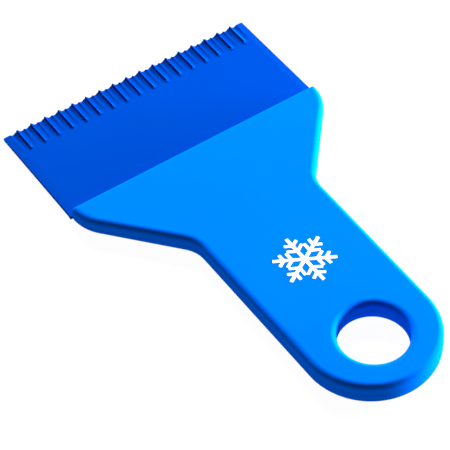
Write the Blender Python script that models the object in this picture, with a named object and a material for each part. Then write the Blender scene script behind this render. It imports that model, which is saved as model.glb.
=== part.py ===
"""Windshield ice scraper: a ribbed plastic blade held between two hollow handle shells.

Frame: X across the blade, +Y towards the scraping edge, +Z up. The scraper lies on its
back face on the plane Z = 0, and the origin is under the middle of its bounding box.
All lengths are in metres.
"""
import math

import bmesh
import bpy
from mathutils import Vector

# Overall size
BLADE_WIDTH = 0.1006         # across the scraping edge
BLADE_REACH = 0.0456         # blade length in front of the handle
HANDLE_LENGTH = 0.1225       # handle's front face to the end of the ring
TOTAL_LENGTH = BLADE_REACH + HANDLE_LENGTH
LEAD_Y = TOTAL_LENGTH / 2 - BLADE_REACH      # handle's front face
EDGE_Y = TOTAL_LENGTH / 2                    # scraping edge

# Handle outline
HANDLE_HALF_WIDTH = 0.0499
TIP_RADIUS = 0.0012          # vertical edge between front face and side
CORNER_RADIUS = 0.0160       # large rounding of the fan's corner
CORNER_SETBACK = 0.0008      # from the front face to the widest point
WAIST_HALF_WIDTH = 0.0240
WAIST_SETBACK = 0.0369
WAIST_RADIUS = 0.0114
RING_RADIUS = 0.0233
RING_Y = LEAD_Y - HANDLE_LENGTH + RING_RADIUS
HOLE_RADIUS = 0.0116
HOLE_Y = RING_Y - 0.0022

# Handle section
FRONT_HEIGHT = 0.0068
TAIL_HEIGHT = 0.0088
TOP_ROUNDING = 0.0021
BOTTOM_ROUNDING = 0.0021
FRONT_ROUNDING = 0.0022      # edge rounding along the front face
PARTING_FRONT = 0.00245      # height of the joint between the shells, just above the tang
PARTING_TAIL = 0.0044
WALL = 0.0020
ROOF = 0.0016
FLOOR = 0.0008
GAP = 0.0003                 # clearance between neighbouring pieces

# Tongue on the upper shell and its rebate in the lower shell
TONGUE_INSET = 0.0012
TONGUE_DEPTH = 0.0010

# Blade
BLADE_ROOT_BOTTOM = 0.0006
BLADE_ROOT_TOP = 0.0021
BLADE_EDGE_BOTTOM = 0.0
BLADE_EDGE_TOP = 0.00115     # plain surface at the scraping edge
BLADE_SIDE_DROP = 0.0001     # how far the upper face slopes down at the sides
BLADE_SIDE_SLOPE = 0.0022    # width of the sloped margin along each side
ROOT_NARROWING = 0.00015     # how much the sides draw in towards the root
COLLAR_LENGTH = 0.0012       # full-width strip against the handle

# Ice-breaking ribs and the flutes between them
RIB_COUNT = 17
RIB_PITCH = 0.005605
RIB_LENGTH = 0.0100
RIB_HEIGHT = 0.00095
RIB_STEEP_BASE = 0.0005      # from the ridge to the foot of the steep flank, towards -X
RIB_GENTLE_BASE = 0.0009     # the same on the long flank, towards +X
FLUTE_HALF_WIDTH = 0.00095
FLUTE_DEPTH = 0.0006         # at the scraping edge, fading to nothing at the ribs' ends
FLUTE_CENTRE = 0.00185       # from a rib's ridge
FLUTE_RADIUS = (FLUTE_HALF_WIDTH ** 2 + FLUTE_DEPTH ** 2) / (2 * FLUTE_DEPTH)

# Tang inside the handle
TANG_HALF_WIDTH = 0.0450
TANG_BACK_HALF_WIDTH = 0.0330
TANG_LENGTH = 0.0190
TANG_STRAIGHT = 0.0040
TANG_BOTTOM = 0.0011
TANG_TOP = 0.0023

# Locating pins on the lower shell, through the tang and into the upper shell's bosses
PIN_RADIUS = 0.0019
PIN_HOLE_RADIUS = PIN_RADIUS + GAP
BOSS_RADIUS = 0.0038
TANG_PINS = [(-0.029, LEAD_Y - 0.0095), (-0.010, LEAD_Y - 0.0105),
             (0.010, LEAD_Y - 0.0105), (0.029, LEAD_Y - 0.0095)]
GRIP_PINS = [(side * 0.0125, LEAD_Y - setback) for setback in (0.042, 0.070) for side in (-1, 1)]

# Stiffening ribs moulded inside both shells
STIFFENER = 0.0012
CROSS_RIB_SETBACKS = (0.050, 0.062, 0.080)
EYELET_RADIUS = HOLE_RADIUS + 0.0046

ROUND_STEPS = 5
HOLE_SEGMENTS = 40


def clear_scene():
    for obj in list(bpy.data.objects):
        bpy.data.objects.remove(obj, do_unlink=True)


def plastic(name, colour, roughness):
    material = bpy.data.materials.new(name)
    material.use_nodes = True
    shader = material.node_tree.nodes["Principled BSDF"]
    shader.inputs["Base Color"].default_value = (*colour, 1.0)
    shader.inputs["Roughness"].default_value = roughness
    shader.inputs["Metallic"].default_value = 0.0
    return material


def add_object(name, bm, smooth_angle=math.radians(35)):
    bmesh.ops.recalc_face_normals(bm, faces=bm.faces)
    mesh = bpy.data.meshes.new(name)
    bm.to_mesh(mesh)
    bm.free()
    mesh.shade_smooth()
    mesh.set_sharp_from_angle(angle=smooth_angle)
    obj = bpy.data.objects.new(name, mesh)
    bpy.context.scene.collection.objects.link(obj)
    return obj


def as_tool(obj):
    obj.hide_render = True
    obj.display_type = 'WIRE'
    return obj


def boolean(target, tool, operation):
    modifier = target.modifiers.new(tool.name, 'BOOLEAN')
    modifier.operation = operation
    modifier.solver = 'EXACT'
    modifier.object = as_tool(tool)


# Handle outline -------------------------------------------------------------------------

def arc(centre, radius, start, end, steps):
    points = []
    for i in range(steps + 1):
        angle = start + (end - start) * i / steps
        points.append((centre[0] + radius * math.cos(angle), centre[1] + radius * math.sin(angle)))
    return points


def tangent_angle(point, centre, radius, side):
    """Angle, seen from the circle's centre, at which a line through point touches it."""
    dx = point[0] - centre[0]
    dy = point[1] - centre[1]
    return math.atan2(dy, dx) + side * math.acos(radius / math.hypot(dx, dy))


def fillet(before, corner, after, radius, steps):
    """Arc of the given radius that rounds the corner between two straight stretches."""
    to_before = (Vector(before) - Vector(corner)).normalized()
    to_after = (Vector(after) - Vector(corner)).normalized()
    half_angle = to_before.angle(to_after) / 2
    centre = Vector(corner) + (to_before + to_after).normalized() * radius / math.sin(half_angle)
    reach = radius / math.tan(half_angle)
    first = Vector(corner) + to_before * reach - centre
    last = Vector(corner) + to_after * reach - centre
    start = math.atan2(first.y, first.x)
    sweep = (math.atan2(last.y, last.x) - start + math.pi) % (2 * math.pi) - math.pi
    return arc(centre, radius, start, start + sweep, steps)


def line_crossing(point_a, dir_a, point_b, dir_b):
    cross = dir_a[0] * dir_b[1] - dir_a[1] * dir_b[0]
    dx = point_b[0] - point_a[0]
    dy = point_b[1] - point_a[1]
    t = (dx * dir_b[1] - dy * dir_b[0]) / cross
    return (point_a[0] + dir_a[0] * t, point_a[1] + dir_a[1] * t)


def handle_outline(inset=0.0, front_inset=0.0):
    """Closed outline of the handle, drawn in by inset along the sides and front_inset in front.

    Every inset gives the same number of points, so outlines can be lofted into each other.
    """
    corner = (HANDLE_HALF_WIDTH - CORNER_RADIUS, LEAD_Y - CORNER_SETBACK)
    waist = (WAIST_HALF_WIDTH, LEAD_Y - WAIST_SETBACK)
    ring = (0.0, RING_Y)
    shoulder_angle = tangent_angle(waist, corner, CORNER_RADIUS, 1)
    grip_angle = tangent_angle(waist, ring, RING_RADIUS, -1)

    def on_circle(centre, radius, angle):
        return (centre[0] + radius * math.cos(angle), centre[1] + radius * math.sin(angle))

    corner_radius = max(CORNER_RADIUS - inset, 0.0005)
    shoulder = on_circle(corner, corner_radius, shoulder_angle)
    grip_end = on_circle(ring, RING_RADIUS - inset, grip_angle)
    shoulder_dir = (-math.sin(shoulder_angle), math.cos(shoulder_angle))
    grip_dir = (-math.sin(grip_angle), math.cos(grip_angle))
    inner_waist = line_crossing(shoulder, shoulder_dir, grip_end, grip_dir)

    tip_radius = max(TIP_RADIUS - min(inset, front_inset), 0.0001)
    tip_y = LEAD_Y - front_inset - tip_radius
    rise = tip_y - corner[1]
    tip_x = corner[0] + math.sqrt((corner_radius - tip_radius) ** 2 - rise ** 2)
    tip_angle = math.atan2(rise, tip_x - corner[0])

    half = arc((tip_x, tip_y), tip_radius, math.pi / 2, tip_angle, 3)
    half += arc(corner, corner_radius, tip_angle, shoulder_angle, 9)[1:]
    half += fillet(shoulder, inner_waist, grip_end, WAIST_RADIUS + inset, 7)
    half += arc(ring, RING_RADIUS - inset, grip_angle, -math.pi / 2, 17)
    mirrored = [(-x, y) for x, y in reversed(half[:-1])]
    return half + mirrored


def top_plane(y):
    """Height of the handle's flat top, which rises towards the ring."""
    slope = (TAIL_HEIGHT - FRONT_HEIGHT) / HANDLE_LENGTH
    return FRONT_HEIGHT + slope * (LEAD_Y - y)


def parting_plane(y):
    return PARTING_FRONT + (PARTING_TAIL - PARTING_FRONT) * (LEAD_Y - y) / HANDLE_LENGTH


def ring_points(inset, front_inset, height):
    return [(x, y, height(y)) for x, y in handle_outline(inset, front_inset)]


def edge_rounding(radius, front_radius, steps):
    """(inset, front inset, drop from the flat face) along a quarter-round, flat face first."""
    stations = []
    for i in range(steps + 1):
        angle = math.pi / 2 * i / steps
        drop = radius * (1 - math.cos(angle))
        inset = radius * (1 - math.sin(angle))
        left = max(front_radius - drop, 0.0)
        front_inset = front_radius - math.sqrt(front_radius ** 2 - left ** 2)
        stations.append((inset, front_inset, drop))
    return stations


def loft(bm, rings):
    """Join closed rings of equal length by quads and close both ends."""
    rows = [[bm.verts.new(point) for point in ring] for ring in rings]
    count = len(rows[0])
    for lower, upper in zip(rows, rows[1:]):
        for i in range(count):
            j = (i + 1) % count
            bm.faces.new((lower[i], lower[j], upper[j], upper[i]))
    bm.faces.new(list(reversed(rows[0])))
    bm.faces.new(rows[-1])


# Small solids ---------------------------------------------------------------------------

def add_box(bm, low, high):
    bottom = [(low[0], low[1]), (high[0], low[1]), (high[0], high[1]), (low[0], high[1])]
    loft(bm, [[(x, y, low[2]) for x, y in bottom], [(x, y, high[2]) for x, y in bottom]])


def add_turned(bm, centre, profile, segments):
    """Solid of revolution about a vertical axis; profile runs bottom to top as (radius, z)."""
    rings = []
    for radius, z in profile:
        angles = [2 * math.pi * i / segments for i in range(segments)]
        rings.append([(centre[0] + radius * math.cos(a), centre[1] + radius * math.sin(a), z)
                      for a in angles])
    loft(bm, rings)


def solid(name, build):
    bm = bmesh.new()
    build(bm)
    return add_object(name, bm)


# Handle shells --------------------------------------------------------------------------

def shell_body(name, upper):
    """One open half of the handle: rounded outside, parting face with lap joint, hollow inside."""
    bm = bmesh.new()
    radius = TOP_ROUNDING if upper else BOTTOM_ROUNDING
    rings = []
    for inset, front_inset, drop in edge_rounding(radius, FRONT_ROUNDING, ROUND_STEPS):
        if upper:
            rings.append(ring_points(inset, front_inset, lambda y, d=drop: top_plane(y) - d))
        else:
            rings.append(ring_points(inset, front_inset, lambda y, d=drop: d))
    half_gap = GAP / 2
    if upper:
        step = TONGUE_INSET + half_gap
        rings.append(ring_points(0, 0, lambda y: parting_plane(y) + half_gap))
        rings.append(ring_points(step, step, lambda y: parting_plane(y) + half_gap))
        rings.append(ring_points(step, step, lambda y: parting_plane(y) - TONGUE_DEPTH + half_gap))
        rings.append(ring_points(WALL, WALL, lambda y: parting_plane(y) - TONGUE_DEPTH + half_gap))
        rings.append(ring_points(WALL, WALL, lambda y: top_plane(y) - ROOF))
    else:
        step = TONGUE_INSET - half_gap
        rings.append(ring_points(0, 0, lambda y: parting_plane(y) - half_gap))
        rings.append(ring_points(step, step, lambda y: parting_plane(y) - half_gap))
        rings.append(ring_points(step, step, lambda y: parting_plane(y) - TONGUE_DEPTH - half_gap))
        rings.append(ring_points(WALL, WALL, lambda y: parting_plane(y) - TONGUE_DEPTH - half_gap))
        rings.append(ring_points(WALL, WALL, lambda y: FLOOR))
    loft(bm, rings)
    return add_object(name, bm)


def stiffeners(upper):
    """Cross ribs in the grip, from side wall to side wall."""
    reach = RING_RADIUS - WALL + 0.0002

    def build(bm):
        for setback in CROSS_RIB_SETBACKS:
            y = LEAD_Y - setback
            if upper:
                low, high = parting_plane(y) + GAP, top_plane(y) - ROOF / 2
            else:
                low, high = FLOOR / 2, parting_plane(y) - TONGUE_DEPTH - 2 * GAP
            add_box(bm, (-reach, y - STIFFENER / 2, low), (reach, y + STIFFENER / 2, high))
    return solid("upper_stiffeners" if upper else "lower_stiffeners", build)


def eyelet(upper):
    """Wall round the hanging hole, closing the hollow shell there."""
    def build(bm):
        if upper:
            low, high = parting_plane(HOLE_Y) + GAP, top_plane(HOLE_Y) - ROOF / 2
        else:
            low, high = FLOOR / 2, parting_plane(HOLE_Y) - GAP
        add_turned(bm, (0, HOLE_Y), [(EYELET_RADIUS, low), (EYELET_RADIUS, high)], HOLE_SEGMENTS)
    return solid("upper_eyelet" if upper else "lower_eyelet", build)


def hole_cutter(upper):
    """Hanging hole with its rim rounded like the handle's edge."""
    top = top_plane(HOLE_Y)
    overshoot = 0.004
    tilt = (TAIL_HEIGHT - FRONT_HEIGHT) / HANDLE_LENGTH

    def build(bm):
        stations = edge_rounding(TOP_ROUNDING if upper else BOTTOM_ROUNDING, FRONT_ROUNDING, ROUND_STEPS)
        if upper:
            profile = [(HOLE_RADIUS, -0.002)]
            profile += [(HOLE_RADIUS + inset, top - drop) for inset, _, drop in reversed(stations)]
            profile.append((profile[-1][0], top + overshoot))
        else:
            profile = [(HOLE_RADIUS + stations[0][0], -overshoot)]
            profile += [(HOLE_RADIUS + inset, drop) for inset, _, drop in stations]
            profile.append((HOLE_RADIUS, top + overshoot))
        add_turned(bm, (0, HOLE_Y), profile, HOLE_SEGMENTS)
        if upper:
            for vert in bm.verts:
                vert.co.z -= tilt * (vert.co.y - HOLE_Y)
    return solid("upper_hole_cutter" if upper else "lower_hole_cutter", build)


def pins():
    def build(bm):
        for x, y in TANG_PINS + GRIP_PINS:
            tip = top_plane(y) - ROOF - 2 * GAP
            add_turned(bm, (x, y), [(PIN_RADIUS, FLOOR / 2), (PIN_RADIUS, tip - 0.0004),
                                    (PIN_RADIUS - 0.0004, tip)], 20)
    return solid("lower_pins", build)


def bosses(tang_only):
    """Sleeves under the roof; over the tang they press the blade down."""
    def build(bm):
        for x, y in (TANG_PINS if tang_only else GRIP_PINS):
            low = TANG_TOP + GAP if tang_only else parting_plane(y) + GAP
            high = top_plane(y) - ROOF / 2
            add_turned(bm, (x, y), [(BOSS_RADIUS, low), (BOSS_RADIUS, high)], 24)
    return solid("upper_tang_bosses" if tang_only else "upper_grip_bosses", build)


def boss_bores():
    def build(bm):
        for x, y in TANG_PINS + GRIP_PINS:
            add_turned(bm, (x, y), [(PIN_HOLE_RADIUS, 0.0), (PIN_HOLE_RADIUS, top_plane(y) - ROOF)], 20)
    return solid("upper_boss_bores", build)


def tang_slot(name, low, high):
    """Clearance for the tang through the front wall."""
    half = TANG_HALF_WIDTH + GAP
    return solid(name, lambda bm: add_box(bm, (-half, LEAD_Y - WALL - 0.001, low),
                                          (half, LEAD_Y + 0.001, high)))


def make_upper_shell(material):
    shell = shell_body("handle_upper_shell", upper=True)
    shell.data.materials.append(material)
    boolean(shell, eyelet(upper=True), 'UNION')
    boolean(shell, stiffeners(upper=True), 'UNION')
    boolean(shell, bosses(tang_only=True), 'UNION')
    boolean(shell, bosses(tang_only=False), 'UNION')
    boolean(shell, boss_bores(), 'DIFFERENCE')
    boolean(shell, hole_cutter(upper=True), 'DIFFERENCE')
    boolean(shell, tang_slot("upper_tang_slot", 0.0, TANG_TOP + GAP), 'DIFFERENCE')
    return shell


def make_lower_shell(material):
    shell = shell_body("handle_lower_shell", upper=False)
    shell.data.materials.append(material)
    boolean(shell, eyelet(upper=False), 'UNION')
    boolean(shell, stiffeners(upper=False), 'UNION')
    boolean(shell, pins(), 'UNION')
    boolean(shell, hole_cutter(upper=False), 'DIFFERENCE')
    boolean(shell, tang_slot("lower_tang_slot", TANG_BOTTOM - GAP, FRONT_HEIGHT), 'DIFFERENCE')
    return shell


# Blade ----------------------------------------------------------------------------------

def blade_half_width(y):
    if y < LEAD_Y + COLLAR_LENGTH:
        return BLADE_WIDTH / 2
    along = (EDGE_Y - y) / BLADE_REACH
    return BLADE_WIDTH / 2 - ROOT_NARROWING * along


def blade_bottom(y):
    along = (EDGE_Y - y) / BLADE_REACH
    return BLADE_EDGE_BOTTOM + (BLADE_ROOT_BOTTOM - BLADE_EDGE_BOTTOM) * along


def plain_top(x, y):
    """Blade's upper face without ribs or flutes, sloping down along both sides."""
    along = (EDGE_Y - y) / BLADE_REACH
    middle = BLADE_EDGE_TOP + (BLADE_ROOT_TOP - BLADE_EDGE_TOP) * along
    outward = min(max(1 - (BLADE_WIDTH / 2 - abs(x)) / BLADE_SIDE_SLOPE, 0.0), 1.0)
    return middle - BLADE_SIDE_DROP * outward


def blade_top(x, y, ribs=True):
    """Upper face with the ridged ribs, cut by flutes that deepen towards the edge."""
    height = plain_top(x, y)
    from_edge = EDGE_Y - y
    if not ribs:
        return height
    nearest = round(x / RIB_PITCH)
    nearest = max(-(RIB_COUNT // 2), min(RIB_COUNT // 2, nearest))
    offset = x - nearest * RIB_PITCH
    height += RIB_HEIGHT * max(0.0, 1 - abs(offset) / rib_base(offset))
    sideways = abs(abs(offset) - FLUTE_CENTRE)
    if sideways < FLUTE_HALF_WIDTH:
        depth = FLUTE_DEPTH * (1 - from_edge / RIB_LENGTH)
        sag = FLUTE_RADIUS - math.sqrt(FLUTE_RADIUS ** 2 - sideways ** 2)
        height = min(height, plain_top(x, y) - depth + sag)
    return height


def rib_base(side):
    """Width of a rib's flank on the side that the sign says."""
    return RIB_GENTLE_BASE if side > 0 else RIB_STEEP_BASE


def blade_columns():
    """X positions of the mesh columns: ridges, rib bases, flute walls and flute floors."""
    shares = (-1.0, -0.75, -0.4, 0.0, 0.4, 0.75, 1.0)
    flute = [FLUTE_CENTRE + FLUTE_HALF_WIDTH * share for share in shares]
    half = RIB_COUNT // 2
    xs = []
    for i in range(-half, half + 1):
        for side in (-1, 1):
            for offset in [0.0, rib_base(side)] + flute:
                if offset < RIB_PITCH / 2 or side * i == half:
                    xs.append(i * RIB_PITCH + side * offset)
    for i in range(-half, half):
        xs.append((i + 0.5) * RIB_PITCH)
    limit = BLADE_WIDTH / 2 - BLADE_SIDE_SLOPE
    xs = [x for x in xs if abs(x) < limit - 0.0002]
    xs += [-limit, limit, -BLADE_WIDTH / 2, BLADE_WIDTH / 2]
    unique = []
    for x in sorted(xs):
        if not unique or x - unique[-1] > 0.00002:
            unique.append(x)
    return unique


def blade_front():
    """Exposed stretch of the blade as one closed grid body."""
    foot = EDGE_Y - RIB_LENGTH
    collar = LEAD_Y + COLLAR_LENGTH
    rows = [(EDGE_Y, True), (EDGE_Y - 0.4 * RIB_LENGTH, True), (foot + 0.0001, True),
            (foot, False), (collar, False), (collar - 0.0001, False), (LEAD_Y + GAP, False)]
    columns = blade_columns()
    bm = bmesh.new()
    top = []
    bottom = []
    for y, ribs in rows:
        half = blade_half_width(y)
        top.append([bm.verts.new((x * half * 2 / BLADE_WIDTH, y, blade_top(x, y, ribs))) for x in columns])
        bottom.append([bm.verts.new((x, y, blade_bottom(y))) for x in (-half, half)])
    for row in range(len(rows) - 1):
        near, far = top[row], top[row + 1]
        for i in range(len(columns) - 1):
            bm.faces.new((near[i], far[i], far[i + 1], near[i + 1]))
        (left, right), (far_left, far_right) = bottom[row], bottom[row + 1]
        bm.faces.new((left, right, far_right, far_left))
        bm.faces.new((left, far_left, far[0], near[0]))
        bm.faces.new((right, near[-1], far[-1], far_right))
    for row in (0, -1):
        bm.faces.new([bottom[row][0]] + top[row] + [bottom[row][1]])
    return add_object("blade", bm, smooth_angle=math.radians(20))


def tang():
    """Flat tongue of the blade that the shells clamp."""
    back = LEAD_Y - TANG_LENGTH
    front = LEAD_Y + GAP + 0.0002
    half = [(TANG_HALF_WIDTH, front), (TANG_HALF_WIDTH, LEAD_Y - TANG_STRAIGHT)]
    half += fillet((TANG_HALF_WIDTH, LEAD_Y - TANG_STRAIGHT), (TANG_BACK_HALF_WIDTH, back), (0, back),
                   0.003, 5)
    outline = half + [(-x, y) for x, y in reversed(half)]

    def build(bm):
        loft(bm, [[(x, y, TANG_BOTTOM) for x, y in outline], [(x, y, TANG_TOP) for x, y in outline]])
    return solid("tang_tool", build)


def tang_holes():
    def build(bm):
        for x, y in TANG_PINS:
            add_turned(bm, (x, y), [(PIN_HOLE_RADIUS, 0.0), (PIN_HOLE_RADIUS, 0.006)], 20)
    return solid("tang_hole_cutters", build)


def make_blade(material):
    blade = blade_front()
    blade.data.materials.append(material)
    boolean(blade, tang(), 'UNION')
    boolean(blade, tang_holes(), 'DIFFERENCE')
    return blade


def main():
    clear_scene()
    handle_blue = plastic("handle_blue_plastic", (0.0, 0.28, 0.95), 0.38)
    blade_blue = plastic("blade_blue_plastic", (0.0, 0.09, 0.72), 0.34)
    make_blade(blade_blue)
    make_lower_shell(handle_blue)
    make_upper_shell(handle_blue)


main()
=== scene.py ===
"""Looks of the windshield ice scraper: two plastic handle shells, a ribbed blade and a printed mark."""
import math

import bmesh
import bpy
from mathutils import Matrix, Vector


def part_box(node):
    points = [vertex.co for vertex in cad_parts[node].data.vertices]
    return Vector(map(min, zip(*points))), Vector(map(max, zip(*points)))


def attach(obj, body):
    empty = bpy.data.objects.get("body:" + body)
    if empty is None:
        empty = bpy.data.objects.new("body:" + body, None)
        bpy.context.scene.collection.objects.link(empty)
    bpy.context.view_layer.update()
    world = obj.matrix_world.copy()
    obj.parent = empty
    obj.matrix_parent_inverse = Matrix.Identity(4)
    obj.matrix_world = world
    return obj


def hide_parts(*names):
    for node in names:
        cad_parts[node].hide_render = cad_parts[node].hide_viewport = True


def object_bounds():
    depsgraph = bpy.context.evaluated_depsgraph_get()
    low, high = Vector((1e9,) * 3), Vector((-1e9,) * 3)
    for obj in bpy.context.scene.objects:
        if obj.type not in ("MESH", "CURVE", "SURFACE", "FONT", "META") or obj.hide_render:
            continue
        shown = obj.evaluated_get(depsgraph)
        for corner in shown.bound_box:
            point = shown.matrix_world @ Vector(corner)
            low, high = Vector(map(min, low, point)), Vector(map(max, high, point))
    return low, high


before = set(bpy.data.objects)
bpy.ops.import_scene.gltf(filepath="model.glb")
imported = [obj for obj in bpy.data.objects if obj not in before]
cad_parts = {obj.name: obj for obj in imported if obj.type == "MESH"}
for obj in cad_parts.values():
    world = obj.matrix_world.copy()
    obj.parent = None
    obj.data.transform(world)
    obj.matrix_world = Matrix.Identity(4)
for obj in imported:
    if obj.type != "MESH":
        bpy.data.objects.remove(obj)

CAD_LOW, CAD_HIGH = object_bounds()
BLADE_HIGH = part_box("blade")[1]
SHELL_LOW, SHELL_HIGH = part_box("handle_upper_shell")

# Handle outline, in metres
LEAD_Y = SHELL_HIGH.y                 # handle's front face
TAIL_Y = SHELL_LOW.y                  # end of the ring
HANDLE_LENGTH = LEAD_Y - TAIL_Y
HANDLE_HALF_WIDTH = SHELL_HIGH.x
TIP_RADIUS = 0.0012                   # vertical edge between front face and side
CORNER_RADIUS = 0.0160                # large rounding of the fan's corner
CORNER_SETBACK = 0.0008               # from the front face to the widest point
WAIST_HALF_WIDTH = 0.0240
WAIST_SETBACK = 0.0369
WAIST_RADIUS = 0.0114
RING_RADIUS = 0.0233
RING_Y = TAIL_Y + RING_RADIUS
HOLE_RADIUS = 0.0116
HOLE_Y = RING_Y - 0.0022

# Handle section
FRONT_HEIGHT = 0.0068
TAIL_HEIGHT = 0.0088
TOP_ROUNDING = 0.0021
BOTTOM_ROUNDING = 0.0021
FRONT_ROUNDING = 0.0022
PARTING_FRONT = 0.00245
PARTING_TAIL = 0.0044
PARTING_GAP = 0.00004                 # visible joint between the shells
PARTING_CHAMFER = 0.00006
TONGUE_INSET = 0.0012
TONGUE_DEPTH = 0.0010
WALL = 0.0020
ROOF = 0.0016
FLOOR = 0.0008
CLEARANCE = 0.0001                    # round the tang and the lap joint's tongue
SMALLEST_CORNER = 0.0005              # corner radius that an inset outline keeps
SMALLEST_TIP = 0.0001                 # the same for the tip
OVERCUT = 0.001                       # how far the slot's cutter passes through a wall

# Blade
EDGE_Y = BLADE_HIGH.y
BLADE_HALF_WIDTH = BLADE_HIGH.x
BLADE_REACH = EDGE_Y - LEAD_Y
ROOT_NARROWING = 0.00015
COLLAR_LENGTH = 0.0012                # full-width strip against the handle
COLLAR_STEP = 0.0001                  # length over which the sides step out to the collar
COLLAR_GAP = 0.00002                  # from the collar to the handle's front face
ROOT_TOP = 0.0021
ROOT_BOTTOM = 0.0006
EDGE_TOP = 0.00115
EDGE_BOTTOM = 0.0
SIDE_SLOPE_WIDTH = 0.0022
SIDE_DROP = 0.0001
RIB_COUNT = 17
RIB_PITCH = 0.005605
RIB_LENGTH = 0.0100
RIB_END_LENGTH = 0.00015              # over which a rib's end drops to the plain face
RIB_HEIGHT = 0.00095
RIB_STEEP_BASE = 0.0005               # the rib's steep flank, towards -X
RIB_GENTLE_BASE = 0.0009              # the rib's long flank, towards +X
RIDGE_SOFTNESS = 0.00005
FLUTE_HALF_WIDTH = 0.00095
FLUTE_DEPTH = 0.0006
FLUTE_CENTRE = 0.00185
FLUTE_RADIUS = (FLUTE_HALF_WIDTH ** 2 + FLUTE_DEPTH ** 2) / (2 * FLUTE_DEPTH)
TANG_HALF_WIDTH = 0.0450
TANG_BACK_HALF_WIDTH = 0.0330
TANG_LENGTH = 0.0190
TANG_STRAIGHT = 0.0040
TANG_BOTTOM = 0.0011
TANG_TOP = 0.0023
TANG_OVERLAP = 0.0001                 # how far the tang runs into the exposed plate
TANG_SHOULDER_RADIUS = 0.002
TANG_BACK_RADIUS = 0.003

# Printed mark
MARK_Y = LEAD_Y - 0.0645
MARK_RADIUS = 0.0105
MARK_THICKNESS = 0.00004
MARK_CORNER_RADIUS = 0.00018
ARM_HALF_WIDTH = 0.055                # this, the twigs' width and places: shares of the mark's radius
TWIG_WIDTH = 0.099
TWIGS = ((0.36, 0.30), (0.62, 0.24))  # where each pair leaves the arm, and its length
TWIG_ANGLE = math.radians(58)         # between twig and arm

# Camera: where it looks, from where, and how long its lens is
CAMERA_TARGET = Vector((-0.00923, LEAD_Y - 0.03164, 0.0))
CAMERA_DISTANCE = 0.62816
CAMERA_AZIMUTH = math.radians(-31.90)
CAMERA_ELEVATION = math.radians(49.12)
CAMERA_ROLL = math.radians(-2.80)
CAMERA_LENS = 150.5

# How finely the round stretches are divided
ROUND_STEPS = 10
TIP_STEPS = 6
CORNER_STEPS = 20
WAIST_STEPS = 16
RING_STEPS = 44
HOLE_SEGMENTS = 120
RIB_ROWS = 12
PLAIN_ROWS = 4
FLUTE_COLUMNS = 8

# Moulded surface and table
GRAIN_SCALE = 4200
GRAIN_DEPTH = 0.000010
WAVE_DEPTH = 0.00006
TABLE_HALF_SIZE = 12.0
TABLE_DROP = 0.0002                   # below the part, so that the faces don't meet


# Outlines -------------------------------------------------------------------------------

def arc(centre, radius, start, end, steps):
    angles = [start + (end - start) * i / steps for i in range(steps + 1)]
    return [(centre[0] + radius * math.cos(a), centre[1] + radius * math.sin(a)) for a in angles]


def tangent_angle(point, centre, radius, side):
    """Angle, seen from the circle's centre, at which a line through point touches it."""
    dx = point[0] - centre[0]
    dy = point[1] - centre[1]
    return math.atan2(dy, dx) + side * math.acos(radius / math.hypot(dx, dy))


def fillet(before, corner, after, radius, steps):
    """Arc of the given radius that rounds the corner between two straight stretches."""
    to_before = (Vector(before) - Vector(corner)).normalized()
    to_after = (Vector(after) - Vector(corner)).normalized()
    half_angle = to_before.angle(to_after) / 2
    centre = Vector(corner) + (to_before + to_after).normalized() * radius / math.sin(half_angle)
    reach = radius / math.tan(half_angle)
    first = Vector(corner) + to_before * reach - centre
    last = Vector(corner) + to_after * reach - centre
    start = math.atan2(first.y, first.x)
    sweep = (math.atan2(last.y, last.x) - start + math.pi) % (2 * math.pi) - math.pi
    return arc(centre, radius, start, start + sweep, steps)


def line_crossing(point_a, dir_a, point_b, dir_b):
    cross = dir_a[0] * dir_b[1] - dir_a[1] * dir_b[0]
    dx = point_b[0] - point_a[0]
    dy = point_b[1] - point_a[1]
    t = (dx * dir_b[1] - dy * dir_b[0]) / cross
    return (point_a[0] + dir_a[0] * t, point_a[1] + dir_a[1] * t)


def handle_outline(inset=0.0, front_inset=0.0):
    """Closed outline of the handle, drawn in by inset along the sides and front_inset in front."""
    corner = (HANDLE_HALF_WIDTH - CORNER_RADIUS, LEAD_Y - CORNER_SETBACK)
    waist = (WAIST_HALF_WIDTH, LEAD_Y - WAIST_SETBACK)
    ring = (0.0, RING_Y)
    shoulder_angle = tangent_angle(waist, corner, CORNER_RADIUS, 1)
    grip_angle = tangent_angle(waist, ring, RING_RADIUS, -1)

    corner_radius = max(CORNER_RADIUS - inset, SMALLEST_CORNER)
    ring_radius = RING_RADIUS - inset
    shoulder = arc(corner, corner_radius, shoulder_angle, shoulder_angle, 1)[0]
    grip_end = arc(ring, ring_radius, grip_angle, grip_angle, 1)[0]
    shoulder_dir = (-math.sin(shoulder_angle), math.cos(shoulder_angle))
    grip_dir = (-math.sin(grip_angle), math.cos(grip_angle))
    inner_waist = line_crossing(shoulder, shoulder_dir, grip_end, grip_dir)

    tip_radius = max(TIP_RADIUS - min(inset, front_inset), SMALLEST_TIP)
    tip_y = LEAD_Y - front_inset - tip_radius
    rise = tip_y - corner[1]
    tip_x = corner[0] + math.sqrt((corner_radius - tip_radius) ** 2 - rise ** 2)
    tip_angle = math.atan2(rise, tip_x - corner[0])

    half = arc((tip_x, tip_y), tip_radius, math.pi / 2, tip_angle, TIP_STEPS)
    half += arc(corner, corner_radius, tip_angle, shoulder_angle, CORNER_STEPS)[1:]
    half += fillet(shoulder, inner_waist, grip_end, WAIST_RADIUS + inset, WAIST_STEPS)
    half += arc(ring, ring_radius, grip_angle, -math.pi / 2, RING_STEPS)
    mirrored = [(-x, y) for x, y in reversed(half[:-1])]
    return half + mirrored


def hole_outline(outset=0.0):
    return arc((0.0, HOLE_Y), HOLE_RADIUS + outset, 0.0, 2 * math.pi, HOLE_SEGMENTS)[:-1]


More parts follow.
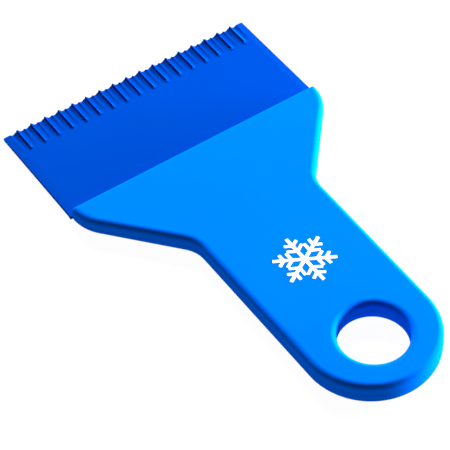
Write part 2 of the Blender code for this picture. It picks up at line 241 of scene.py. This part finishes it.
def top_plane(y):
    """Height of the handle's flat top, which rises towards the ring."""
    return FRONT_HEIGHT + (TAIL_HEIGHT - FRONT_HEIGHT) * (LEAD_Y - y) / HANDLE_LENGTH


def parting_plane(y):
    return PARTING_FRONT + (PARTING_TAIL - PARTING_FRONT) * (LEAD_Y - y) / HANDLE_LENGTH


# Mesh helpers ---------------------------------------------------------------------------

def add_ring(bm, outline, height):
    return [bm.verts.new((x, y, height(y))) for x, y in outline]


def add_strip(bm, rings):
    """Quads between neighbouring closed rings."""
    for lower, upper in zip(rings, rings[1:]):
        for i in range(len(lower)):
            j = (i + 1) % len(lower)
            bm.faces.new((lower[i], lower[j], upper[j], upper[i]))


def add_plate(bm, outer, inner):
    """Flat face between an outer ring and a hole's ring."""
    edges = []
    for ring in (outer, inner):
        for i in range(len(ring)):
            a, b = ring[i], ring[(i + 1) % len(ring)]
            edges.append(bm.edges.get((a, b)) or bm.edges.new((a, b)))
    bmesh.ops.triangle_fill(bm, use_beauty=True, edges=edges)


def add_prism(bm, outline, low, high):
    bottom = [bm.verts.new((x, y, low)) for x, y in outline]
    top = [bm.verts.new((x, y, high)) for x, y in outline]
    add_strip(bm, [bottom, top])
    bm.faces.new(list(reversed(bottom)))
    bm.faces.new(top)


def make_object(name, bm):
    bmesh.ops.recalc_face_normals(bm, faces=bm.faces)
    mesh = bpy.data.meshes.new(name)
    bm.to_mesh(mesh)
    bm.free()
    obj = bpy.data.objects.new(name, mesh)
    bpy.context.scene.collection.objects.link(obj)
    return obj


def apply_boolean(target, tool, operation):
    """Combine tool into target for good and delete tool."""
    modifier = target.modifiers.new("boolean", 'BOOLEAN')
    modifier.operation = operation
    modifier.solver = 'EXACT'
    modifier.object = tool
    bpy.context.view_layer.update()
    depsgraph = bpy.context.evaluated_depsgraph_get()
    combined = bpy.data.meshes.new_from_object(target.evaluated_get(depsgraph))
    target.modifiers.clear()
    target.data = combined
    bpy.data.objects.remove(tool)


def finish_surface(obj, material, sharp_degrees):
    """Smooth shading that keeps flat faces flat."""
    obj.data.materials.clear()
    obj.data.materials.append(material)
    obj.data.shade_smooth()
    obj.data.set_sharp_from_angle(angle=math.radians(sharp_degrees))
    modifier = obj.modifiers.new("flat_faces_lead", 'WEIGHTED_NORMAL')
    modifier.mode = 'FACE_AREA'
    modifier.weight = 100
    modifier.keep_sharp = True


# Handle shells --------------------------------------------------------------------------

def edge_rounding(radius, front_radius):
    """(inset, front inset, distance from the flat face) along a quarter-round, flat face first."""
    stations = []
    for i in range(ROUND_STEPS + 1):
        angle = math.pi / 2 * i / ROUND_STEPS
        drop = radius * (1 - math.cos(angle))
        inset = radius * (1 - math.sin(angle))
        left = max(front_radius - drop, 0.0)
        stations.append((inset, front_radius - math.sqrt(front_radius ** 2 - left ** 2), drop))
    return stations


def make_shell(name, upper, material):
    """Hollow half of the handle, with its rounded rim, lap joint and the eyelet round the hole."""
    side = 1 if upper else -1
    flat = top_plane if upper else (lambda y: 0.0)
    rounding = edge_rounding(TOP_ROUNDING if upper else BOTTOM_ROUNDING, FRONT_ROUNDING)

    def joint(offset):
        return lambda y: parting_plane(y) + side * PARTING_GAP / 2 + offset

    def inner_face(y):
        return top_plane(y) - ROOF if upper else FLOOR

    outer = [(i, f, lambda y, d=d: flat(y) - side * d) for i, f, d in rounding]
    hole = [(i, lambda y, d=d: flat(y) - side * d) for i, _, d in rounding]
    chamfer = PARTING_CHAMFER
    step = TONGUE_INSET + side * CLEARANCE / 2
    outer += [(0.0, 0.0, joint(side * chamfer)), (chamfer, chamfer, joint(0.0)), (step, step, joint(0.0)),
              (step, step, joint(-TONGUE_DEPTH)), (WALL, WALL, joint(-TONGUE_DEPTH)),
              (WALL, WALL, inner_face)]
    hole += [(0.0, joint(side * chamfer)), (chamfer, joint(0.0)), (WALL, joint(0.0)), (WALL, inner_face)]

    bm = bmesh.new()
    outer_rings = [add_ring(bm, handle_outline(i, f), height) for i, f, height in outer]
    hole_rings = [add_ring(bm, hole_outline(i), height) for i, height in hole]
    add_strip(bm, outer_rings)
    add_strip(bm, hole_rings)
    add_plate(bm, outer_rings[0], hole_rings[0])
    add_plate(bm, outer_rings[-1], hole_rings[-1])
    shell = make_object(name, bm)

    slot = bmesh.new()
    half = TANG_HALF_WIDTH + CLEARANCE
    back = LEAD_Y - WALL - OVERCUT
    front = LEAD_Y + OVERCUT
    corners = [(-half, back), (half, back), (half, front), (-half, front)]
    low = 0.0 if upper else TANG_BOTTOM - CLEARANCE
    high = TANG_TOP + CLEARANCE if upper else FRONT_HEIGHT
    add_prism(slot, corners, low, high)
    apply_boolean(shell, make_object("slot", slot), 'DIFFERENCE')
    finish_surface(shell, material, 40)
    return shell


# Blade ----------------------------------------------------------------------------------

def along_blade(y):
    """0 at the scraping edge, 1 at the handle."""
    return (EDGE_Y - y) / BLADE_REACH


def blade_half_width(y):
    if y < LEAD_Y + COLLAR_LENGTH:
        return BLADE_HALF_WIDTH
    return BLADE_HALF_WIDTH - ROOT_NARROWING * along_blade(y)


def blade_bottom(y):
    return EDGE_BOTTOM + (ROOT_BOTTOM - EDGE_BOTTOM) * along_blade(y)


def plain_top(x, y):
    """Upper face without ribs or flutes, sloping down along both sides."""
    middle = EDGE_TOP + (ROOT_TOP - EDGE_TOP) * along_blade(y)
    outward = min(max(1 - (BLADE_HALF_WIDTH - abs(x)) / SIDE_SLOPE_WIDTH, 0.0), 1.0)
    return middle - SIDE_DROP * outward


def ribbed_top(x, y):
    """Upper face with the ridged ribs, cut by flutes that deepen towards the edge."""
    half_count = RIB_COUNT // 2
    nearest = max(-half_count, min(half_count, round(x / RIB_PITCH)))
    offset = x - nearest * RIB_PITCH
    slope = RIB_HEIGHT / (RIB_GENTLE_BASE if offset > 0 else RIB_STEEP_BASE)
    ridge = RIB_HEIGHT + RIDGE_SOFTNESS - math.hypot(RIDGE_SOFTNESS, slope * offset)
    height = plain_top(x, y) + max(0.0, ridge)
    sideways = abs(abs(offset) - FLUTE_CENTRE)
    if sideways < FLUTE_HALF_WIDTH:
        depth = FLUTE_DEPTH * (1 - (EDGE_Y - y) / RIB_LENGTH)
        sag = FLUTE_RADIUS - math.sqrt(FLUTE_RADIUS ** 2 - sideways ** 2)
        height = min(height, plain_top(x, y) - depth + sag)
    return height


def blade_columns():
    """X positions of the mesh columns, closest together on the ridges and flute walls."""
    half_count = RIB_COUNT // 2
    ridge = [RIDGE_SOFTNESS * i for i in (0, 1, 2, 4, 6, 12)] + [RIB_STEEP_BASE, RIB_GENTLE_BASE]
    shares = [i / FLUTE_COLUMNS for i in range(1 - FLUTE_COLUMNS, FLUTE_COLUMNS + 1)]
    flute = [FLUTE_CENTRE + FLUTE_HALF_WIDTH * share for share in shares]
    offsets = ridge + flute
    xs = set()
    for rib in range(-half_count, half_count + 1):
        for offset in offsets:
            for sign in (-1, 1):
                if offset <= RIB_PITCH / 2 or abs(rib) == half_count and sign * rib > 0:
                    xs.add(round(rib * RIB_PITCH + sign * offset, 7))
    foot = BLADE_HALF_WIDTH - SIDE_SLOPE_WIDTH
    xs = [x for x in xs if abs(x) < foot - 0.00005]
    return sorted(xs + [-BLADE_HALF_WIDTH, -foot, foot, BLADE_HALF_WIDTH])


def blade_rows():
    """(y, height function) of the mesh rows from the scraping edge to the handle."""
    foot = EDGE_Y - RIB_LENGTH
    rows = [(EDGE_Y - RIB_LENGTH * i / RIB_ROWS, ribbed_top) for i in range(RIB_ROWS)]
    rows += [(foot + RIB_END_LENGTH, ribbed_top), (foot, plain_top)]
    collar = LEAD_Y + COLLAR_LENGTH
    rows += [(foot + (collar - foot) * i / PLAIN_ROWS, plain_top) for i in range(1, PLAIN_ROWS + 1)]
    rows += [(collar - COLLAR_STEP, plain_top), (LEAD_Y + COLLAR_GAP, plain_top)]
    return rows


def make_blade(material):
    columns = blade_columns()
    bm = bmesh.new()
    top = []
    bottom = []
    for y, height in blade_rows():
        scale = blade_half_width(y) / BLADE_HALF_WIDTH
        top.append([bm.verts.new((x * scale, y, height(x, y))) for x in columns])
        ends = (columns[0] * scale, columns[-1] * scale)
        bottom.append([bm.verts.new((x, y, blade_bottom(y))) for x in ends])
    for near, far in zip(top, top[1:]):
        for i in range(len(columns) - 1):
            bm.faces.new((near[i], far[i], far[i + 1], near[i + 1]))
    for row in range(len(top) - 1):
        near, far = bottom[row], bottom[row + 1]
        bm.faces.new((near[0], near[1], far[1], far[0]))
        bm.faces.new((near[0], far[0], top[row + 1][0], top[row][0]))
        bm.faces.new((near[1], top[row][-1], top[row + 1][-1], far[1]))
    for row in (0, -1):
        bm.faces.new([bottom[row][0]] + top[row] + [bottom[row][1]])
    blade = make_object("ribbed_blade", bm)

    back = LEAD_Y - TANG_LENGTH
    shoulder = (TANG_HALF_WIDTH, LEAD_Y - TANG_STRAIGHT)
    back_corner = (TANG_BACK_HALF_WIDTH, back)
    half = [(TANG_HALF_WIDTH, LEAD_Y + TANG_OVERLAP)]
    half += fillet((TANG_HALF_WIDTH, LEAD_Y), shoulder, back_corner, TANG_SHOULDER_RADIUS, 4)
    half += fillet(shoulder, back_corner, (0, back), TANG_BACK_RADIUS, 5)
    outline = half + [(-x, y) for x, y in reversed(half)]
    tang = bmesh.new()
    add_prism(tang, outline, TANG_BOTTOM, TANG_TOP)
    apply_boolean(blade, make_object("tang", tang), 'UNION')
    finish_surface(blade, material, 28)
    return blade


# Printed mark ---------------------------------------------------------------------------

def snowflake_outline():
    """One closed outline of a plain six-armed snowflake with two pairs of twigs on each arm."""
    out = Vector((math.sin(TWIG_ANGLE), math.cos(TWIG_ANGLE)))
    across = Vector((-out.y, out.x)) * TWIG_WIDTH
    right = [Vector((ARM_HALF_WIDTH, ARM_HALF_WIDTH / math.tan(math.pi / 6)))]
    for start, length in TWIGS:
        root = Vector((ARM_HALF_WIDTH, start))
        right += [root, root + out * length, root + out * length + across]
        upper = root + across
        right.append(upper + out * ((ARM_HALF_WIDTH - upper.x) / out.x))
    right.append(Vector((ARM_HALF_WIDTH, 1.0)))
    arm = right + [Vector((-p.x, p.y)) for p in reversed(right[1:])]
    points = []
    for i in range(6):
        turn = Matrix.Rotation(math.pi / 3 * i, 2)
        points += [turn @ p * MARK_RADIUS for p in arm]
    return points


def make_mark(material):
    bm = bmesh.new()
    rim = [bm.verts.new((p.x, MARK_Y + p.y, 0.0)) for p in snowflake_outline()]
    bm.faces.new(rim)
    bmesh.ops.bevel(bm, geom=rim, affect='VERTICES', offset=MARK_CORNER_RADIUS, segments=3, profile=0.5)
    grown = bmesh.ops.extrude_face_region(bm, geom=bm.faces[:])
    for vert in [g for g in grown["geom"] if isinstance(g, bmesh.types.BMVert)]:
        vert.co.z = MARK_THICKNESS
    for vert in bm.verts:
        vert.co.z += top_plane(vert.co.y)
    mark = make_object("snowflake_print", bm)
    mark.data.materials.append(material)
    return mark


# Materials ------------------------------------------------------------------------------

class Surface:
    """Principled material with small helpers for its procedural nodes."""

    def __init__(self, name):
        self.material = bpy.data.materials.new(name)
        self.material.use_nodes = True
        self.nodes = self.material.node_tree.nodes
        self.links = self.material.node_tree.links
        self.shader = self.nodes["Principled BSDF"]
        self.position = self.nodes.new("ShaderNodeTexCoord").outputs["Object"]

    def noise(self, scale, detail=3.0, roughness=0.5):
        node = self.nodes.new("ShaderNodeTexNoise")
        node.inputs["Scale"].default_value = scale
        node.inputs["Detail"].default_value = detail
        node.inputs["Roughness"].default_value = roughness
        self.links.new(self.position, node.inputs["Vector"])
        return node.outputs["Fac"]

    def spread(self, value, low, high, start=0.3, end=0.7):
        """Map value from start..end to low..high."""
        node = self.nodes.new("ShaderNodeMapRange")
        node.inputs["From Min"].default_value = start
        node.inputs["From Max"].default_value = end
        node.inputs["To Min"].default_value = low
        node.inputs["To Max"].default_value = high
        self.links.new(value, node.inputs["Value"])
        return node.outputs["Result"]

    def blend(self, factor, first, second):
        node = self.nodes.new("ShaderNodeMix")
        node.data_type = 'RGBA'
        node.inputs["A"].default_value = (*first, 1.0)
        node.inputs["B"].default_value = (*second, 1.0)
        self.links.new(factor, node.inputs["Factor"])
        return node.outputs["Result"]

    def bump(self, height, distance, below=None):
        node = self.nodes.new("ShaderNodeBump")
        node.inputs["Distance"].default_value = distance
        node.inputs["Strength"].default_value = 1.0
        self.links.new(height, node.inputs["Height"])
        if below is not None:
            self.links.new(below, node.inputs["Normal"])
        return node.outputs["Normal"]

    def plug(self, output, socket):
        self.links.new(output, self.shader.inputs[socket])

    def set(self, socket, value):
        self.shader.inputs[socket].default_value = value


def moulded_plastic(name, light, dark, gloss):
    """Moulded plastic with fine mould grain, shallow waves and a slow drift of colour.

    It reflects nothing, because a white sheen would wash out the deep blues.
    """
    surface = Surface(name)
    drift = surface.spread(surface.noise(18, 2), 0.0, 1.0)
    surface.plug(surface.blend(drift, light, dark), "Base Color")
    grain = surface.noise(GRAIN_SCALE, 2, 0.6)
    waviness = surface.noise(55, 1)
    surface.plug(surface.spread(surface.noise(260, 4, 0.6), gloss - 0.04, gloss + 0.05), "Roughness")
    waves = surface.bump(waviness, WAVE_DEPTH)
    surface.plug(surface.bump(grain, GRAIN_DEPTH, below=waves), "Normal")
    surface.set("Specular IOR Level", 0.0)
    return surface.material


def printing_ink():
    """Matt white pad print, thin enough to take some of the grain below it."""
    surface = Surface("white_ink")
    patchy = surface.spread(surface.noise(900, 3), 0.0, 1.0)
    surface.plug(surface.blend(patchy, (0.80, 0.84, 0.88), (0.90, 0.93, 0.96)), "Base Color")
    surface.plug(surface.bump(surface.noise(GRAIN_SCALE, 2, 0.6), GRAIN_DEPTH), "Normal")
    surface.plug(surface.spread(surface.noise(300, 2), 0.5, 0.62), "Roughness")
    return surface.material


def floor_paint():
    """White table top that gives off light itself, so that shadows on it nearly vanish."""
    surface = Surface("pale_floor")
    cloud = surface.spread(surface.noise(3, 2), 0.0, 1.0)
    surface.plug(surface.blend(cloud, (0.060, 0.060, 0.060), (0.065, 0.065, 0.065)), "Base Color")
    surface.set("Roughness", 0.9)
    surface.set("Specular IOR Level", 0.0)
    surface.set("Emission Color", (1.0, 1.0, 1.0, 1.0))
    surface.set("Emission Strength", 0.97)
    return surface.material


# Stage ----------------------------------------------------------------------------------

def make_floor():
    bm = bmesh.new()
    bmesh.ops.create_grid(bm, x_segments=8, y_segments=8, size=TABLE_HALF_SIZE)
    floor = make_object("floor", bm)
    floor.location.z = CAD_LOW.z - TABLE_DROP
    floor.data.materials.append(floor_paint())


def direction_from(azimuth, elevation):
    """Unit vector towards a place around the part; azimuth 0 is on the ring's side, 90 towards +X."""
    flat = math.cos(elevation)
    return Vector((math.sin(azimuth) * flat, -math.cos(azimuth) * flat, math.sin(elevation)))


def add_softbox(name, azimuth, elevation, distance, size, watts):
    """Area light aimed at the middle of the part."""
    light = bpy.data.lights.new(name, 'AREA')
    light.shape = 'RECTANGLE'
    light.size, light.size_y = size
    light.energy = watts
    lamp = bpy.data.objects.new(name, light)
    bpy.context.scene.collection.objects.link(lamp)
    outward = direction_from(math.radians(azimuth), math.radians(elevation))
    lamp.location = outward * distance
    lamp.rotation_mode = 'QUATERNION'
    lamp.rotation_quaternion = (-outward).to_track_quat('-Z', 'Y')


def make_lights():
    world = bpy.data.worlds.new("studio")
    bpy.context.scene.world = world
    world.use_nodes = True
    background = world.node_tree.nodes["Background"]
    background.inputs["Color"].default_value = (1.0, 1.0, 1.0, 1.0)
    background.inputs["Strength"].default_value = 0.05
    add_softbox("back", azimuth=146, elevation=36, distance=1.5, size=(0.9, 0.5), watts=78)
    add_softbox("right_key", azimuth=76, elevation=4, distance=0.5, size=(0.4, 0.04), watts=25)
    add_softbox("rim", azimuth=190, elevation=15, distance=1.0, size=(0.8, 0.3), watts=3)


def make_camera():
    back = direction_from(CAMERA_AZIMUTH, CAMERA_ELEVATION)
    level_right = Vector((math.cos(CAMERA_AZIMUTH), math.sin(CAMERA_AZIMUTH), 0.0))
    level_up = back.cross(level_right)
    right = level_right * math.cos(CAMERA_ROLL) + level_up * math.sin(CAMERA_ROLL)
    up = level_up * math.cos(CAMERA_ROLL) - level_right * math.sin(CAMERA_ROLL)
    data = bpy.data.cameras.new("camera")
    data.sensor_width = 36.0
    data.lens = CAMERA_LENS
    data.clip_start = 0.01
    data.clip_end = 50.0
    camera = bpy.data.objects.new("camera", data)
    bpy.context.scene.collection.objects.link(camera)
    turn = Matrix((right, up, back)).transposed().to_4x4()
    camera.matrix_world = Matrix.Translation(CAMERA_TARGET + back * CAMERA_DISTANCE) @ turn
    bpy.context.scene.camera = camera


def main():
    make_camera()
    handle_blue = moulded_plastic("handle_satin_blue", (0.0, 0.106, 0.70), (0.0, 0.111, 0.72), 0.34)
    blade_blue = moulded_plastic("blade_satin_blue", (0.0, 0.035, 0.285), (0.0, 0.037, 0.295), 0.34)
    upper = make_shell("upper_shell", True, handle_blue)
    lower = make_shell("lower_shell", False, handle_blue)
    blade = make_blade(blade_blue)
    mark = make_mark(printing_ink())
    for piece, node, slot in ((upper, "handle_upper_shell", "handle_plastic"),
                              (lower, "handle_lower_shell", "handle_plastic"),
                              (blade, "blade", "blade_plastic")):
        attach(piece, "root")
        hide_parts(node)
    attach(mark, "root")
    make_floor()
    make_lights()
    bpy.context.scene.view_settings.view_transform = 'Standard'
    bpy.context.view_layer.update()


main()
